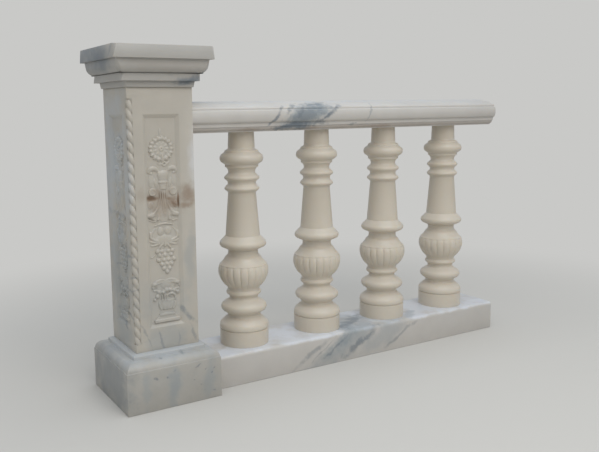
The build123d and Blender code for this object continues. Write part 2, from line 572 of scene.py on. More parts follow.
SHAFT_MARKS = (
    # A cloud over the lower outer side that also paints its shade, a painted bluish sky sheen over
    # its upper half, and a cloud on the front at its foot
    ("cloud", 0.55, (-100, 10, 330), (0, 0, 0), (34, 120, 330), 0.8, 90),
    ("sheen", 0.60, (-108, 20, 700), (0, 0, 0), (26, 220, 330), 0.6, 90),
    ("cloud", 0.40, (0, -100, 190), (0, 0, 0), (110, 40, 60), 0.7, 60),
    # Veins low on the front
    ("vein", 0.55, (66, -100, 262), (0, 52, 0), (62, 14, 10), 0.9, 26),
    ("vein", 0.40, (84, -98, 205), (0, 70, 0), (50, 12, 6), 0.9, 26),
    ("vein", 0.30, (35, -99, 196), (0, 86, 0), (32, 12, 6), 0.9, 24),
    ("vein", 0.45, (-21, -99, 203), (0, 62, 0), (46, 12, 5), 0.9, 24),
    ("vein", 0.45, (-65, -99, 208), (0, 62, 0), (58, 12, 5), 0.9, 24),
    # Veins and dark places on the outer side
    ("vein", 0.65, (-99, -10, 242), (32, 0, 0), (16, 60, 7), 0.7, 24),
    ("vein", 0.55, (-99, -60, 275), (12, 0, 0), (16, 48, 6), 0.8, 24),
    ("vein", 0.50, (-99, 36, 268), (0, 0, 0), (16, 12, 18), 0.7, 20),
    ("vein", 0.55, (-99, 27, 415), (-12, 0, 0), (16, 44, 5), 0.8, 24),
    ("vein", 0.50, (-99, -68, 446), (-7, 0, 0), (16, 42, 5), 0.8, 24),
    ("vein", 0.50, (-99, -70, 346), (-15, 0, 0), (16, 40, 5), 0.8, 24),
    ("vein", 0.45, (-99, 31, 368), (-30, 0, 0), (16, 26, 5), 0.8, 20),
    ("vein", 0.50, (-99, -87, 386), (-10, 0, 0), (16, 24, 5), 0.8, 20),
    ("vein", 0.30, (-99, 10, 560), (10, 0, 0), (14, 120, 12), 1.1, 30),
    ("cloud", 0.50, (-95, -30, 602), (0, 0, 0), (14, 26, 24), 0.6, 24),
    # Painted shade in the dish of the rosette on the outer side
    ("vein", 0.40, (-93, 2, 764), (0, 0, 0), (12, 18, 7), 0.6, 16),
    # Iron stain in the bell flower, dark brown in its flutes and hollows, and painted shadows under
    # its left curl and at its right
    ("rust", 0.85, (-35, -90, 616), (0, 4, 0), (30, 7.5, 12), 0.5, 12),
    ("grime", 0.75, (-9, -92, 621), (0, -3, 0), (2.2, 8, 17), 0.3, 6),
    ("grime", 0.80, (-2.5, -92, 620), (0, 0, 0), (2.2, 8, 19), 0.3, 6),
    ("grime", 0.75, (3.5, -92, 621), (0, 0, 0), (2.0, 8, 17), 0.3, 6),
    ("grime", 0.65, (10, -92, 621), (0, 3, 0), (2.0, 8, 15), 0.3, 6),
    ("rust", 0.55, (20, -91, 612), (0, 10, 0), (15, 7, 7), 0.5, 12),
    ("rust", 0.85, (48.5, -94, 606), (0, 0, 0), (4.5, 9, 32), 0.4, 14),
    ("grime", 0.55, (-35, -91, 616), (0, 4, 0), (28, 7, 9), 0.5, 9),
    # Painted shadow under the bell's left curl
    ("grime", 0.50, (-36, -92, 554), (0, 25, 0), (20, 8, 4.5), 0.4, 9),
    ("grime", 0.60, (49, -94, 597), (0, 0, 0), (4, 9, 22), 0.4, 9),
    # Painted shadow in a slanting band at the bell's right
    ("grime", 0.40, (35, -91, 597), (0, 42, 0), (18, 8, 5), 0.5, 9),
    # Painted shade in the hollows beside the scrolls over the urn and in its bowl, and a painted
    # shadow line along the foot of its block
    ("grime", 0.30, (-28, -91, 350), (0, 0, 0), (7, 8, 5.5), 0.4, 6),
    ("grime", 0.25, (31, -91, 350), (0, 0, 0), (7, 8, 5), 0.4, 6),
    ("grime", 0.45, (-10, -93, 319), (0, 0, 0), (2.0, 8, 8), 0.3, 6),
    ("grime", 0.45, (-3, -93, 319), (0, 0, 0), (2.0, 8, 8), 0.3, 6),
    ("grime", 0.30, (-17, -93, 304), (0, 0, 0), (1.8, 8, 11), 0.3, 6),
    ("grime", 0.40, (14, -93, 319), (0, 14, 0), (9, 8, 4), 0.4, 6),
    ("grime", 0.22, (-8, -94, 244.5), (0, 0, 0), (36, 8, 2), 0.3, 8),
    # Iron stain round the bell flower, as far as both borders
    ("rust", 0.40, (38, -91, 592), (0, 0, 0), (18, 8, 14), 0.7, 16),
    ("rust", 0.50, (80, -100, 628), (0, -18, 0), (34, 14, 40), 0.7, 34),
    ("rust", 0.45, (66, -100, 589), (0, 6, 0), (28, 14, 13), 0.6, 20),
    ("rust", 0.25, (72, -100, 606), (0, 0, 0), (44, 14, 46), 0.6, 40),
    ("rust", 0.40, (34, -91, 603), (0, 0, 0), (20, 8, 26), 0.6, 16),
    ("rust", 0.18, (-68, -100, 628), (0, 0, 0), (22, 10, 36), 0.7, 30),
    ("rust", 0.42, (0, -92, 606), (0, 0, 0), (72, 20, 58), 0.8, 30),
    # A painted pool of light on the upper right border, and clouds low on the front
    ("pale", 0.50, (106, -100, 725), (0, 0, 0), (30, 20, 120), 0.6, 50),
    ("cloud", 0.30, (0, -100, 320), (0, 0, 0), (130, 24, 130), 0.7, 70),
    ("cloud", 0.35, (82, -100, 440), (0, 4, 0), (26, 14, 120), 0.6, 50),
)
FOOT_MARKS = (
    # Painted bluish sky sheen on the mouldings, and clouds over the front
    ("sheen", 0.50, (0, 0, 160), (0, 0, 0), (400, 400, 34), 0.3, 60),
    ("cloud", 0.60, (-5, -150, 60), (0, 5, 0), (32, 60, 110), 0.8, 40),
    ("cloud", 0.35, (-90, -150, 70), (0, 5, 0), (16, 60, 90), 0.9, 30),
    ("cloud", 0.45, (110, -150, 70), (0, 8, 0), (26, 60, 100), 0.8, 40),
    # Painted shade, mottled, over the whole outer side
    ("vein", 0.50, (-160, 0, 60), (0, 0, 0), (70, 240, 160), 0.8, 60),
    # Dark specks over the front and on the mouldings
    ("vein", 0.55, (70, -150, 112), (0, -12, 0), (16, 10, 4), 0.9, 8),
    ("vein", 0.50, (96, -150, 96), (0, -30, 0), (7, 10, 3), 0.8, 6),
    ("vein", 0.50, (64, -150, 70), (0, 20, 0), (5, 10, 3), 0.8, 6),
    ("vein", 0.50, (84, -150, 52), (0, 40, 0), (6, 10, 3), 0.8, 6),
    ("vein", 0.60, (-62, -150, 94), (0, 10, 0), (9, 10, 4), 0.8, 6),
    ("vein", 0.60, (-30, -150, 98), (0, 0, 0), (8, 10, 5), 0.8, 6),
    ("vein", 0.60, (0, -146, 114), (0, -20, 0), (9, 12, 4), 0.8, 6),
    ("vein", 0.60, (117, -150, 84), (0, -20, 0), (8, 10, 4), 0.8, 6),
    ("vein", 0.55, (128, -150, 98), (0, -30, 0), (7, 10, 4), 0.8, 6),
    ("vein", 0.60, (92, -150, 32), (0, 20, 0), (7, 10, 4), 0.8, 6),
    ("vein", 0.55, (122, -150, 24), (0, 0, 0), (6, 10, 4), 0.8, 6),
    ("vein", 0.55, (-40, -125, 150), (0, -10, 0), (9, 14, 8), 0.8, 8),
    ("vein", 0.55, (36, -122, 150), (0, -10, 0), (8, 14, 8), 0.8, 8),
)
CAP_MARKS = (
    # Dark veins at the lower right, and dark veins with painted shade over the whole outer side
    ("vein", 0.90, (90, -124, 952), (0, -8, 0), (66, 60, 20), 0.7, 30),
    ("vein", 0.30, (20, -140, 962), (0, -6, 0), (90, 30, 5), 1.0, 30),
    ("vein", 0.86, (-170, 40, 1010), (0, 0, 0), (60, 210, 110), 0.5, 60),
    ("vein", 0.35, (-151, -118, 1030), (50, 0, 0), (20, 8, 60), 0.9, 24),
    # Painted warm shade in a faint brown band along the front of the ovolo
    ("rust", 0.10, (0, -145, 990), (0, 0, 0), (200, 30, 26), 0.6, 60),
)
HANDRAIL_MARKS = (
    # Painted bluish sky sheen on the top, and painted brown shade along the underside, browner in
    # three places
    ("sheen", 0.55, (740, 0, 905), (0, 0, 0), (1600, 140, 24), 0.3, 60),
    ("rust", 0.28, (740, -80, 804), (0, 0, 0), (1600, 22, 11), 0.3, 60),
    ("rust", 0.30, (820, -80, 803), (0, 0, 0), (80, 30, 10), 0.5, 24),
    ("rust", 0.35, (520, -80, 804), (0, 0, 0), (60, 30, 12), 0.5, 20),
    ("rust", 0.30, (300, -80, 803), (0, 0, 0), (60, 30, 10), 0.5, 20),
    # A faint cloud beside the post, and the broad bed with its darker veins
    ("cloud", 0.24, (210, -30, 892), (0, 0, 0), (230, 70, 16), 0.5, 60),
    ("cloud", 0.86, (510, -95, 846), (0, -26, 0), (178, 74, 54), 0.6, 36),
    ("vein", 0.48, (508, -95, 848), (0, -30, 0), (158, 68, 46), 1.2, 15),
    ("vein", 0.85, (486, -80, 811), (0, -5, 0), (128, 60, 13), 0.8, 20),
    ("vein", 0.60, (450, -80, 806), (0, 0, 0), (118, 60, 10), 0.9, 14),
    ("vein", 0.80, (592, -85, 845), (0, -33, 0), (92, 66, 8), 0.8, 18),
    ("vein", 0.75, (386, -85, 842), (0, -48, 0), (62, 62, 7), 0.9, 14),
    ("vein", 0.60, (450, -85, 866), (0, -24, 0), (40, 60, 9), 1.1, 13),
    ("vein", 0.50, (482, -85, 848), (0, -60, 0), (34, 60, 9), 1.2, 13),
    ("vein", 0.55, (548, -70, 880), (0, -6, 0), (52, 50, 6), 1.0, 18),
    # Thin veins to the right of the bed
    ("vein", 0.40, (772, -80, 856), (0, -62, 0), (46, 60, 5), 0.9, 20),
    ("vein", 0.45, (690, -80, 812), (0, -10, 0), (26, 40, 6), 0.9, 14),
)
GROUND_RAIL_MARKS = (
    # Painted bluish sky light on the top, over a clouded front
    ("pale", 1.00, (740, 0, 109), (0, 0, 0), (3000, 800, 15), 0.2, 60),
    ("cloud", 0.60, (670, -60, 60), (0, -26, 0), (300, 260, 62), 0.6, 60),
    ("cloud", 0.45, (820, -80, 60), (0, -24, 0), (190, 90, 60), 0.6, 60),
    ("cloud", 0.72, (650, -80, 74), (0, -30, 0), (118, 90, 38), 0.8, 26),
    # Veins that slant down to the left across the front
    ("vein", 0.62, (722, -90, 52), (0, -29, 0), (120, 60, 19), 0.9, 30),
    ("vein", 0.48, (516, -90, 50), (0, -32, 0), (108, 60, 13), 0.9, 28),
    ("vein", 0.45, (610, -90, 50), (0, -36, 0), (90, 60, 7), 1.0, 18),
    ("vein", 0.35, (560, -90, 52), (0, -38, 0), (80, 60, 5), 1.2, 18),
    ("vein", 0.42, (900, -90, 52), (0, -26, 0), (116, 60, 10), 0.9, 26),
    # Veins across the top
    ("vein", 0.60, (735, -20, 103), (0, 0, 40), (130, 34, 30), 1.1, 30),
    ("cloud", 0.50, (985, -60, 103), (0, 0, 40), (70, 26, 30), 0.9, 40),
)


def patch(tree, place, centre, turn, half_size, ragged, grain):
    """A patch with a ragged edge: 1 in its middle, 0 outside its half size."""
    local = add(
        tree,
        "ShaderNodeMapping",
        {
            "Vector": place,
            "Location": [size * MM for size in centre],
            "Rotation": [radians(angle) for angle in turn],
            "Scale": [size * MM for size in half_size],
        },
        vector_type="TEXTURE",
    )
    reach = add(tree, "ShaderNodeVectorMath", {0: local.outputs[0]}, operation="LENGTH")
    tear = add(
        tree,
        "ShaderNodeTexNoise",
        {"Vector": place, "Scale": 1 / (grain * MM), "Detail": 4.0, "Roughness": 0.6},
    )
    torn = add(
        tree,
        "ShaderNodeMath",
        {0: tear.outputs["Fac"], 1: 2 * ragged, 2: reach.outputs["Value"]},
        operation="MULTIPLY_ADD",
    )
    edge = add(
        tree,
        "ShaderNodeMapRange",
        {
            "Value": torn.outputs[0],
            "From Min": PATCH_CORE + ragged,
            "From Max": 1.0 + ragged,
            "To Min": 1.0,
            "To Max": 0.0,
        },
        interpolation_type="SMOOTHSTEP",
    )
    return edge.outputs[0]


def honed_marble(
    name, settings, ground, marks=(), roughness=0.42, cloud=0.10, cloud_size=90, glow=0.15
):
    """Marble that was rubbed smooth but not polished.

    The eye gets a soft sheen, faint clouds in the white, veins, and light that has gone a few
    millimetres into the stone and comes out warmer. The ground gets lighter and darker by the
    share cloud, over cloud_size millimetres, and glow is the share of light that goes in.
    """
    stone = bpy.data.materials.new(name)
    stone.use_nodes = True
    tree = stone.node_tree
    tree.nodes.clear()
    place = add(tree, "ShaderNodeTexCoord").outputs["Object"]
    drift = add(
        tree,
        "ShaderNodeTexNoise",
        {"Vector": place, "Scale": 1 / (cloud_size * MM), "Detail": 6.0, "Roughness": 0.62},
    )
    light = [min(1, c * (1 + cloud)) for c in linear(ground)[:3]] + [1]
    dark = [c * (1 - cloud) for c in linear(ground)[:3]] + [1]
    colour = add(
        tree,
        "ShaderNodeMix",
        {0: drift.outputs["Fac"], 6: dark, 7: light},
        data_type="RGBA",
    ).outputs[2]
    # The veins wander about a centimetre from their straight course.
    wander = add(
        tree,
        "ShaderNodeTexNoise",
        {"Vector": place, "Scale": 1 / (VEIN_WANDER_GRAIN * MM), "Detail": 4.0},
    )
    about_zero = add(
        tree,
        "ShaderNodeVectorMath",
        {0: wander.outputs["Color"], 1: (0.5, 0.5, 0.5)},
        operation="SUBTRACT",
    )
    bent = add(
        tree,
        "ShaderNodeVectorMath",
        {0: about_zero.outputs[0], 1: [VEIN_WANDER_REACH * MM] * 3, 2: place},
        operation="MULTIPLY_ADD",
    ).outputs[0]
    # Stains and dirt, and the shade painted in their colours, lie on the surface, so they stay where
    # they are; the veins, clouds and the rest wander.
    for tint, strength, *form in marks:
        course = place if tint in ("rust", "grime") else bent
        amount = add(
            tree,
            "ShaderNodeMath",
            {0: patch(tree, course, *form), 1: strength},
            operation="MULTIPLY",
        )
        colour = add(
            tree,
            "ShaderNodeMix",
            {0: amount.outputs[0], 6: colour, 7: linear(getattr(settings, tint))},
            data_type="RGBA",
        ).outputs[2]
    # Rubbing leaves a fine unevenness, drawn coarser than it is so that it shows.
    tooth = add(
        tree,
        "ShaderNodeTexNoise",
        {"Vector": place, "Scale": 1 / (TOOTH_GRAIN * MM), "Detail": 5.0, "Roughness": 0.6},
    )
    gloss = add(
        tree,
        "ShaderNodeMapRange",
        {
            "Value": drift.outputs["Fac"],
            "From Min": 0.3,
            "From Max": 0.7,
            "To Min": roughness - GLOSSIER,
            "To Max": roughness + MORE_MATT,
        },
    )
    bump = add(
        tree,
        "ShaderNodeBump",
        {"Height": tooth.outputs["Fac"], "Strength": 0.35, "Distance": TOOTH_HEIGHT * MM},
    )
    shader = add(
        tree,
        "ShaderNodeBsdfPrincipled",
        {
            "Base Color": colour,
            "Roughness": gloss.outputs[0],
            "Normal": bump.outputs[0],
            "IOR": 1.5,
            "Subsurface Weight": glow,
            "Subsurface Radius": LIGHT_SPREAD,
            "Subsurface Scale": LIGHT_REACH * MM,
        },
    )
    add(tree, "ShaderNodeOutputMaterial", {"Surface": shader.outputs[0]})
    return stone


def stones(settings):
    """The kinds of marble, made once and found again by name."""
    made = bpy.data.materials
    if "warm_marble_honed" not in made:
        # Warm white with grey veins and clouds and brown iron stains round the bell flower, with
        # painted shade in the carving and on the outer side, and painted light on the outer side and
        # the upper right border
        honed_marble("warm_marble_honed", settings, settings.shaft_ground, SHAFT_MARKS)
        # Greyer and more mottled, with small dark specks, a painted sky sheen on its mouldings and
        # painted shade over its outer side
        honed_marble(
            "grey_marble_honed",
            settings,
            settings.foot_ground,
            FOOT_MARKS,
            cloud=0.14,
            cloud_size=45,
        )
        # White with dark blue grey veins, at the right under the slab and over the whole left side,
        # which also paint that side's shade, and painted warm shade along the ovolo
        honed_marble("white_marble_honed", settings, settings.cap_ground, CAP_MARKS)
        # White with one broad, slanting bed of blue grey veins, a painted sky sheen on its top and
        # painted brown shade along its underside
        honed_marble("veined_marble_honed", settings, settings.rail_ground, HANDRAIL_MARKS)
        # The same stone, with painted bluish sky light on its flat top
        honed_marble("painted_top_light_marble_honed", settings, settings.rail_ground, GROUND_RAIL_MARKS)
        # Even cream, rubbed a little finer, so that its sheen is brighter and its shadows are warm
        honed_marble(
            "cream_marble_satin", settings, settings.cream, roughness=0.36, cloud=0.05, glow=0.35
        )
    return made


# Carving, drawn in millimetres: across from the panel's middle line, up from the foot of the post,
# and out from the panel's own ground

PEBBLE_SUBDIVISIONS = 3
TURNED_STEPS = 32
STROKE_ROUNDNESS = 4
STROKE_STEPS = 6
RING_LEAST_STEPS = 12
RING_STEPS_PER_MM = 1.2
# The carved design is a little wider than it is drawn, and stands right of the panel's middle.
DESIGN_WIDENING = 1.04
DESIGN_OFFSET = 2.5
# The forms reach this far behind the panel's ground while they are grown together.
ROOT = 4
# What stays of them behind the ground, so that they stand in it and not on it.
BURIED = 0.6
SMOOTHING_PASSES = 4
SMOOTHING_FACTOR = 0.4


class Relief:
    """Collects the forms of one carved panel in one mesh."""

    def __init__(self):
        self.bm = bmesh.new()

    def place(self, verts, across, up, half_across, half_up, rise, tilt=0.0):
        """Sets unit forms on the panel, flattened to the rise and turned by tilt in degrees."""
        matrix = (
            Matrix.Translation((across, 0, up))
            @ Matrix.Rotation(radians(tilt), 4, "Y")
            @ Matrix.Diagonal((half_across, rise, half_up, 1))
        )
        bmesh.ops.transform(self.bm, matrix=matrix, verts=verts)

    def pebble(self, across, up, half_across, half_up, rise, tilt=0.0):
        """A rounded form."""
        made = bmesh.ops.create_icosphere(self.bm, subdivisions=PEBBLE_SUBDIVISIONS, radius=1)
        self.place(made["verts"], across, up, half_across, half_up, rise, tilt)

    def slab(self, across, up, half_across, half_up, rise, narrower=0.0):
        """A flat slab whose upper edge may be narrower than its foot, by this much on each side."""
        made = bmesh.ops.create_cube(self.bm, size=2)
        top = [v for v in made["verts"] if v.co.z > 0]
        bmesh.ops.scale(self.bm, vec=(1 - narrower / half_across, 1, 1), verts=top)
        self.place(made["verts"], across, up, half_across, half_up, rise)

    def turned(self, across, outline, rise):
        """A form turned about an upright line and flattened to a share of its depth."""
        known = set(self.bm.verts)
        turn_once(self.bm, wire(self.bm, [(radius, 0, up) for radius, up in outline]), TURNED_STEPS)
        fresh = [v for v in self.bm.verts if v not in known]
        bmesh.ops.scale(self.bm, vec=(1, rise, 1), verts=fresh)
        bmesh.ops.translate(self.bm, vec=(across, 0, 0), verts=fresh)

    def stroke(self, points, rise, side=1):
        """A rounded stroke through points of across, up and half width, mirrored where side is -1."""
        line = bpy.data.curves.new("stroke", "CURVE")
        line.dimensions = "3D"
        line.bevel_depth = 1
        line.bevel_resolution = STROKE_ROUNDNESS
        line.use_fill_caps = True
        spline = line.splines.new("NURBS")
        spline.points.add(len(points) - 1)
        for point, (across, up, half_width) in zip(spline.points, points):
            point.co = (side * across, 0, up, 1)
            point.radius = half_width
        spline.order_u = 3
        spline.use_endpoint_u = True
        spline.resolution_u = STROKE_STEPS
        carrier = bpy.data.objects.new("stroke", line)
        mesh = bpy.data.meshes.new_from_object(carrier)
        known = set(self.bm.verts)
        self.bm.from_mesh(mesh)
        fresh = [v for v in self.bm.verts if v not in known]
        bmesh.ops.scale(self.bm, vec=(1, rise, 1), verts=fresh)
        bpy.data.objects.remove(carrier)
        bpy.data.curves.remove(line)
        bpy.data.meshes.remove(mesh)

    def ring(self, across, up, radius, half_width, rise):
        """A rounded stroke that goes round once."""
        steps = max(RING_LEAST_STEPS, round(radius * RING_STEPS_PER_MM))
        turns = [tau * i / steps for i in range(steps + 1)]
        points = [
            (across + radius * cos(turn), up + radius * sin(turn), half_width) for turn in turns
        ]
        self.stroke(points, rise)


def carve_rosette(relief):
    """A flower with a plump rim of petals round a dish, a bud over it and a knot under it."""
    across, up = -2, 757
    relief.pebble(across, up, 28, 28, 4.2)
    relief.ring(across, up, 29.5, 6.2, 1.05)
    petals = ((17, 31, 8.0, 5.6, 8.6), (11, 16, 9, 5.0, 4.9))
    for count, reach, half_long, half_wide, rise in petals:
        for i in range(count):
            turn = 360 * i / count
            relief.pebble(
                across + reach * cos(radians(turn)),
                up + reach * sin(radians(turn)),
                half_long,
                half_wide,
                rise,
                -turn,
            )
    relief.ring(across, up, 4.6, 3.0, 2.2)
    relief.pebble(-4, 804, 4.2, 15, 4.8)
    relief.pebble(0, 734, 4.6, 14, 10)
    relief.ring(6, 714, 5.4, 3.6, 1.7)
    relief.stroke([(12, 712, 3.8), (17, 716, 4.0), (21, 721, 3.2)], 1.6)
    relief.stroke([(0, 714, 3.2), (-8, 711, 3.2), (-14, 714, 2.6)], 1.5)


def carve_scrolls(relief):
    """Two plump scrolls on each side of a cup, which stands on a collar and a short column."""
    for side in (-1, 1):
        relief.stroke(
            [(13, 692, 5.0), (20, 700, 7.6), (30, 703, 9.4), (39, 698, 8.0), (43, 688, 5.2)],
            0.95,
            side,
        )
        relief.pebble(side * 34, 688, 6, 5, 6.2)
        relief.pebble(side * 35, 668, 10, 24, 4.8, side * -6)
        relief.pebble(side * 22, 660, 6, 18, 4.8, side * 10)
        relief.pebble(side * 31, 633, 13, 13, 5.2)
        relief.ring(side * 31, 633, 8.5, 5.4, 1.02)
    relief.turned(
        1,
        (
            (0, 640),
            (12, 640),
            (11.5, 648),
            (12.5, 657),
            (16, 658.5),
            (16, 663),
            (13, 665),
            (16, 672),
            (18.5, 682),
            (17, 689),
            (10, 695),
            (0, 698),
        ),
        0.5,
    )


def carve_bell(relief):
    """A fluted bell flower that hangs mouth down, its outer petals curled outwards."""
    relief.turned(
        0,
        ((0, 640), (13, 640), (13, 620), (14, 604), (20, 586), (30, 568), (24, 552), (0, 548)),
        0.2,
    )
    for side in (-1, 1):
        relief.stroke(
            [
                (10, 640, 3.2),
                (11, 618, 3.0),
                (13.5, 598, 3.8),
                (21, 580, 5.0),
                (31, 569, 6.6),
                (42, 566, 7.0),
            ],
            1.28,
            side,
        )
        relief.pebble(side * 37.5 - 0.5, 566, 15.5, 8.4, 8.8, side * 4)
        relief.stroke(
            [
                (4.6, 640, 2.4),
                (5, 615, 2.6),
                (7, 592, 3.2),
                (11, 572, 4.0),
                (16, 557, 5.0),
                (18, 550, 5.4),
            ],
            1.6,
            side,
        )
        relief.pebble(side * 38, 595, 11, 14, 4.6, side * -14)
        relief.stroke([(45, 552, 2.6), (34, 548, 3.4), (24, 547, 3.4)], 1.7, side)
    relief.stroke([(0, 641, 2.4), (0, 610, 2.8), (1, 590, 4.6), (-4, 566, 3.6)], 1.8)
    relief.pebble(0, 549, 15, 7, 4.6)


def carve_leaf(relief):
    """A band, and under it a broad vine leaf of two round lobes with three fingers a side."""
    relief.stroke(
        [(-31, 533, 2.4), (-14, 539, 3.4), (0, 540, 3.4), (14, 539, 3.4), (29, 534, 2.4)],
        2.0,
    )
    relief.pebble(0, 490, 34, 19, 5.8)
    for side in (-1, 1):
        relief.pebble(side * 11.5, 518, 11.5, 15, 6.4, side * 4)
        relief.pebble(side * 40, 506, 6, 15, 6.4, side * 8)
        relief.stroke([(24, 529, 3.4), (33, 521, 4.4), (38, 512, 4.4)], 1.0, side)
        relief.stroke([(20, 489, 5), (36, 493, 5.4), (44, 505, 4.2)], 1.36, side)
        relief.stroke([(18, 486, 5), (32, 484, 5), (45, 490, 3.6)], 1.36, side)
        relief.stroke([(16, 482, 5), (29, 475, 4.6), (42, 477, 3.2)], 1.36, side)
        relief.stroke([(4, 482, 4), (12, 473, 4.6), (20, 465, 3.6)], 1.5, side)
    relief.stroke([(1, 502, 2.8), (0, 490, 3.4), (1, 472, 4.2)], 2.0)


def carve_grapes(relief):
    """A bunch of grapes, in rows that get shorter downwards."""
    rows = (
        (458, (-23, -10, 9, 22)),
        (446, (-16, -1, 18)),
        (432, (-20, -4, 10, 27)),
        (419, (-10, 5.5, 19.5)),
        (406, (-4.5, 13)),
        (395.5, (5.5,)),
    )
    relief.pebble(1, 441, 29, 26, 5.2)
    relief.pebble(4, 415, 19, 24, 5.2)
    for up, places in rows:
        for across in places:
            relief.pebble(across, up, 7.6, 7.6, 8.7)
    relief.stroke([(-26, 450, 2.6), (-34, 445, 2.6), (-40, 440, 2.4), (-46, 445, 2.2)], 1.8)


def carve_urn(relief):
    """A footed, fluted bowl heaped with fruit between two scrolls, on a stepped block."""
    relief.slab(0.5, 249.5, 39, 4.5, 8.6)
    relief.slab(0.5, 260, 38, 7.5, 6.4, narrower=15)
    relief.slab(0.5, 268, 23, 3, 8.2)
    relief.turned(
        1,
        (
            (0, 266),
            (19, 270),
            (11, 274),
            (10, 279),
            (24, 284),
            (28, 293),
            (28, 303),
            (30, 309),
            (26, 313),
            (0, 314),
        ),
        0.22,
    )
    for across in (-20, -9, 3, 14, 23):
        flute = ((0.8, 281, 3.4), (1.15, 292, 5.0), (1.1, 304, 3.8))
        relief.stroke([(1 + across * share, up, half) for share, up, half in flute], 1.66)
    for across in (-13.5, -6.5, 0.5):
        relief.stroke([(across, 309, 2.6), (across, 327, 2.6)], 3.2)
    relief.stroke(
        [(2, 325, 3.4), (10, 330, 4.6), (21, 328, 4.8), (28, 319, 4.0), (27, 309, 3.8)],
        1.8,
    )
    fruit = (
        (-27, 324, 8),
        (-22, 337, 8),
        (-9, 335, 7),
        (1, 341, 8),
        (13, 340, 7),
        (24, 337, 7.5),
        (35, 331, 6.5),
        (-36, 315, 5),
    )
    for across, up, radius in fruit:
        relief.pebble(across, up, radius, radius, 8.6)
    relief.pebble(0, 359, 20, 17, 5.8)
    for side in (-1, 1):
        relief.stroke([(3, 370, 4.0), (16, 375, 5.4), (31, 366, 5.6)], 1.15, side)
        relief.stroke([(6, 363, 3.4), (17, 367, 4.4), (30, 360, 5.0)], 1.3, side)
        relief.pebble(side * 35, 361, 10, 7.4, 8.8, side * 14)
        relief.pebble(side * 40, 352, 5, 7, 6.0)
        relief.stroke([(26, 343, 3.6), (33, 340, 4.6), (40, 343, 3.6)], 1.3, side)


def carved_panel(settings):
    """The relief of the front panel as a mesh in metres: its forms grown together and softened."""
    relief = Relief()
    for carve in (carve_rosette, carve_scrolls, carve_bell, carve_leaf, carve_grapes, carve_urn):
        carve(relief)
    bm = relief.bm
    close(bm)
    bmesh.ops.scale(bm, vec=(DESIGN_WIDENING * MM, MM, MM), verts=bm.verts)
    bmesh.ops.translate(bm, vec=(DESIGN_OFFSET * MM, settings.carving.sunk, 0), verts=bm.verts)
    for vert in bm.verts:
        vert.co.y = max(-settings.carving.relief, min(ROOT * MM, vert.co.y))
    mesh = bpy.data.meshes.new("relief")
    bm.to_mesh(mesh)
    bm.free()
    carrier = bpy.data.objects.new("relief", mesh)
    bpy.context.scene.collection.objects.link(carrier)
    grown = carrier.modifiers.new("grown", "REMESH")
    grown.mode = "VOXEL"
    grown.voxel_size = settings.carving.grain
    evaluated = carrier.evaluated_get(bpy.context.evaluated_depsgraph_get())
    joined = bpy.data.meshes.new_from_object(evaluated)
    bpy.data.objects.remove(carrier)
    bpy.data.meshes.remove(mesh)
    bm = bmesh.new()
    bm.from_mesh(joined)
    bpy.data.meshes.remove(joined)
    for _ in range(SMOOTHING_PASSES):
        bmesh.ops.smooth_vert(
            bm,
            verts=bm.verts,
            factor=SMOOTHING_FACTOR,
            use_axis_x=True,
            use_axis_y=True,
            use_axis_z=True,
        )
    bmesh.ops.bisect_plane(
        bm,
        geom=bm.verts[:] + bm.edges[:] + bm.faces[:],
        plane_co=(0, BURIED * MM, 0),
        plane_no=(0, 1, 0),
        clear_outer=True,
    )
    fill_holes(bm)
    ground = settings.post.shaft_half - settings.post.panel_depth
    bmesh.ops.translate(bm, vec=(0, -ground, 0), verts=bm.verts)
    return bm


# Each carved face of the shaft, and how far it is turned from the front, in degrees
PANEL_TURNS = {"front": 0, "left": -90, "back": 180}
# Faces that meet at less than this angle, in radians, lie in one plane.
FLAT = 1e-4
QUIRK_SEGMENTS = 4
# Decimal places of a metre to which the rim of the notch is told apart: a hundredth of a millimetre
PLACES = 5


class BALUSTRADE_OT_foot(bpy.types.Operator):
    """Square foot of the post with its mouldings"""

    bl_idname = "balustrade.foot"
    bl_label = "Foot of the post"

    def execute(self, context):
        bm = square_turned(FOOT_OUTLINE)
        ease(bm, context.scene.balustrade.post.arris)
        finished("post_foot", bm, "grey_marble_honed", ["post_base"])
        return {"FINISHED"}


class BALUSTRADE_OT_shaft(bpy.types.Operator):
    """Shaft of the post, with its sunk panels and the rebate for the rope"""

    bl_idname = "balustrade.shaft"
    bl_label = "Shaft of the post"

    def execute(self, context):
        post = context.scene.balustrade.post
        half = post.shaft_half
        rebate = -half + post.rope_rebate
        bm = block(Vector((-half, -half, SHAFT_LOW.z)), Vector((half, half, SHAFT_HIGH.z)))
        cuts = [((rebate, 0, 0), (1, 0, 0)), ((0, rebate, 0), (0, 1, 0))]
        for border in (-post.panel_half, post.panel_half):
            cuts.append(((border, 0, 0), (1, 0, 0)))
            cuts.append(((0, border, 0), (0, 1, 0)))
        for height in (post.panel_foot, post.panel_head, post.rope_foot, post.rope_head):
            cuts.append(((0, 0, height), (0, 0, 1)))
        for place, across in cuts:
            bmesh.ops.bisect_plane(
                bm, geom=bm.verts[:] + bm.edges[:] + bm.faces[:], plane_co=place, plane_no=across
            )
        notch(bm, post, rebate)
        for turn in PANEL_TURNS.values():
            sink_panel(bm, post, turn)
        inner = [e for e in bm.edges if len(e.link_faces) == 2]
        flat = [e for e in inner if e.calc_face_angle() < FLAT]
        bmesh.ops.dissolve_edges(bm, edges=flat, use_verts=True)
        close(bm)
        quirk = []
        for edge in bm.edges:
            a, b = (v.co for v in edge.verts)
            upright = (a.xy - b.xy).length < TOUCHING
            on_face = min(a.x, a.y) < TOUCHING - half
            if upright and on_face and abs(max(a.x, a.y) - rebate) < TOUCHING:
                quirk.append(edge)
        ease(bm, post.quirk, QUIRK_SEGMENTS, edges=quirk)
        ease(bm, post.arris)
        finished("shaft", bm, "warm_marble_honed", ["post_shaft"])
        return {"FINISHED"}


